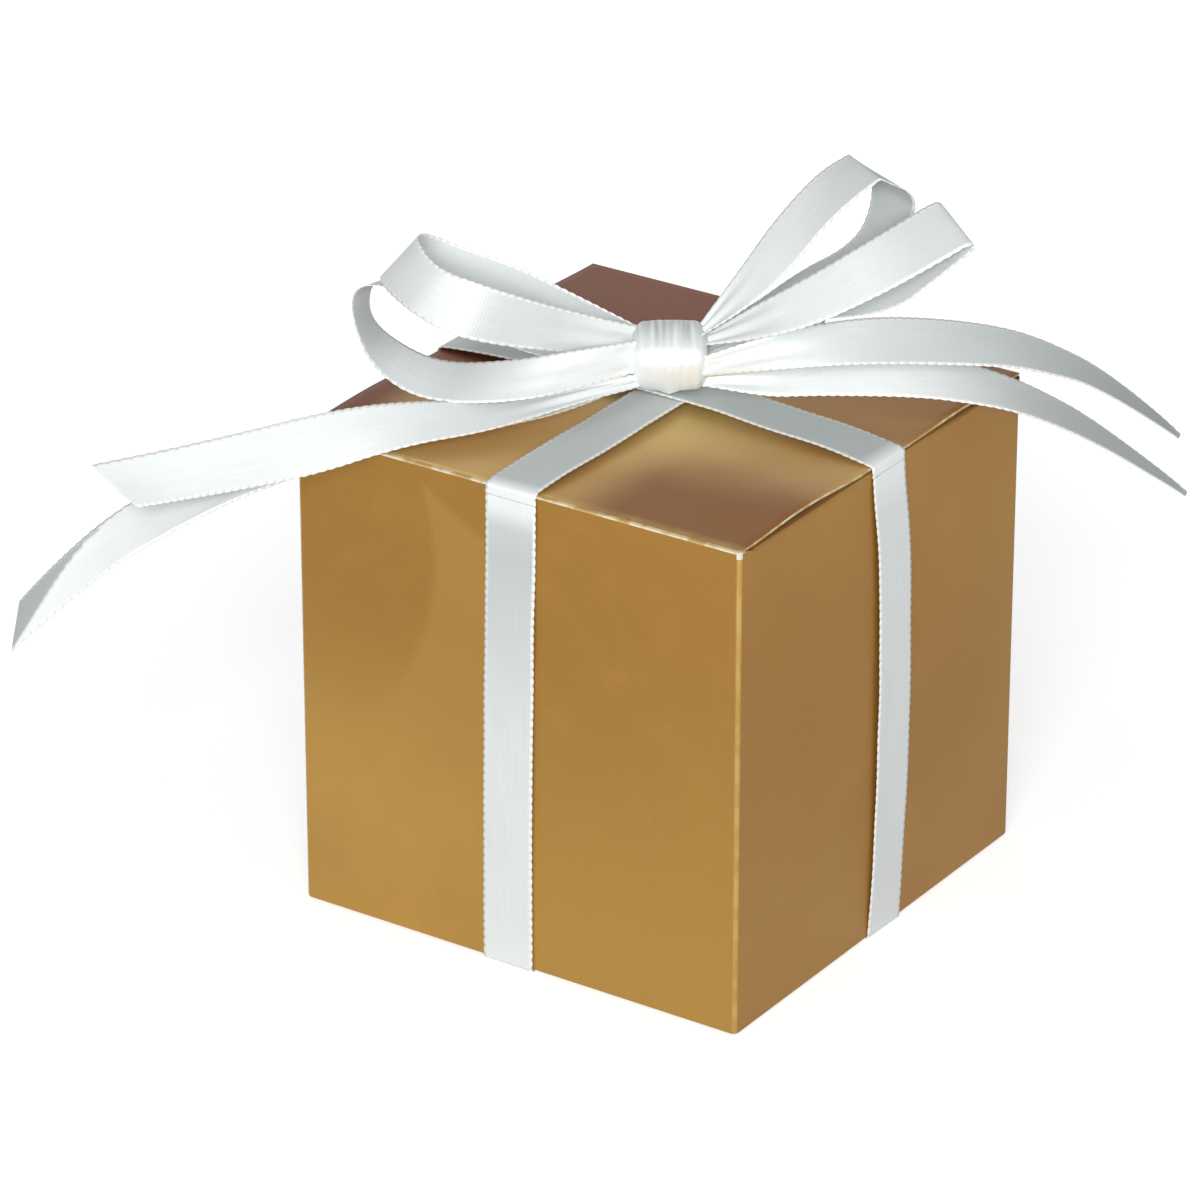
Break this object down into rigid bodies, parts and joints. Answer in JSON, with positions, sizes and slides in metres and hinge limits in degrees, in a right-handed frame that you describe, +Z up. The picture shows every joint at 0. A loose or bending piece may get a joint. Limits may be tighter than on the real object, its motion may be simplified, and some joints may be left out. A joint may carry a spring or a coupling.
{
  "type": "favor box",
  "caption": "Small cube favor box of folded metallic card with a tuck-in lid and dust flaps, tied both ways with narrow satin ribbon that ends in a double bow on the lid.",
  "frame": {"origin": "under the middle of the carton, on the surface that the box stands on", "axes": "+Z up, -Y out of the front panel where the lid tucks in, +X out of the right panel"},
  "size_m": [0.0826, 0.0818, 0.0733],
  "materials": {
    "gold_card": "satin metallic",
    "satin_ribbon": "satin"
  },
  "bodies": {
    "carton": {"front_panel": "gold_card", "right_panel": "gold_card", "back_panel": "gold_card", "left_panel": "gold_card", "glue_tab": "gold_card", "bottom_front_flap": "gold_card", "bottom_back_flap": "gold_card", "bottom_left_flap": "gold_card", "bottom_right_flap": "gold_card", "ribbon_front": "satin_ribbon", "ribbon_back": "satin_ribbon", "ribbon_left": "satin_ribbon", "ribbon_right": "satin_ribbon", "ribbon_under_long": "satin_ribbon", "ribbon_under_cross": "satin_ribbon"},
    "lid": {"lid_panel": "gold_card"},
    "tuck": {"tuck_flap": "gold_card"},
    "dust_left": {"left_dust_flap": "gold_card"},
    "dust_right": {"right_dust_flap": "gold_card"},
    "bow": {"ribbon_lid_long": "satin_ribbon", "ribbon_lid_cross": "satin_ribbon", "bow_knot": "satin_ribbon", "loop_left_upper": "satin_ribbon", "loop_left_lower": "satin_ribbon", "loop_right_upper": "satin_ribbon", "loop_right_lower": "satin_ribbon", "tail_left_upper": "satin_ribbon", "tail_left_lower": "satin_ribbon", "tail_right_upper": "satin_ribbon", "tail_right_lower": "satin_ribbon"}
  },
  "joints": [
    {"name": "lid_hinge", "type": "hinge", "parent": "carton", "child": "lid", "pos_m": [0, 0.0252, 0.0509], "axis": [-1, 0, 0], "range_deg": [0, 110]},
    {"name": "tuck_fold", "type": "hinge", "parent": "lid", "child": "tuck", "pos_m": [0, -0.0246, 0.0509], "axis": [-1, 0, 0], "range_deg": [0, 27.5]},
    {"name": "left_dust_fold", "type": "hinge", "parent": "carton", "child": "dust_left", "pos_m": [-0.0252, 0, 0.0504], "axis": [0, -1, 0], "range_deg": [0, 88]},
    {"name": "right_dust_fold", "type": "hinge", "parent": "carton", "child": "dust_right", "pos_m": [0.0252, 0, 0.0504], "axis": [0, 1, 0], "range_deg": [0, 88]},
    {"name": "bow_lift", "type": "slide", "parent": "lid", "child": "bow", "axis": [0, 0, 1], "range_m": [0, 0.06]}
  ],
  "couplings": [
    {"joint": "tuck_fold", "follows": "lid_hinge", "ratio": 0.25},
    {"joint": "left_dust_fold", "follows": "lid_hinge", "ratio": 0.8},
    {"joint": "right_dust_fold", "follows": "lid_hinge", "ratio": 0.8}
  ]
}
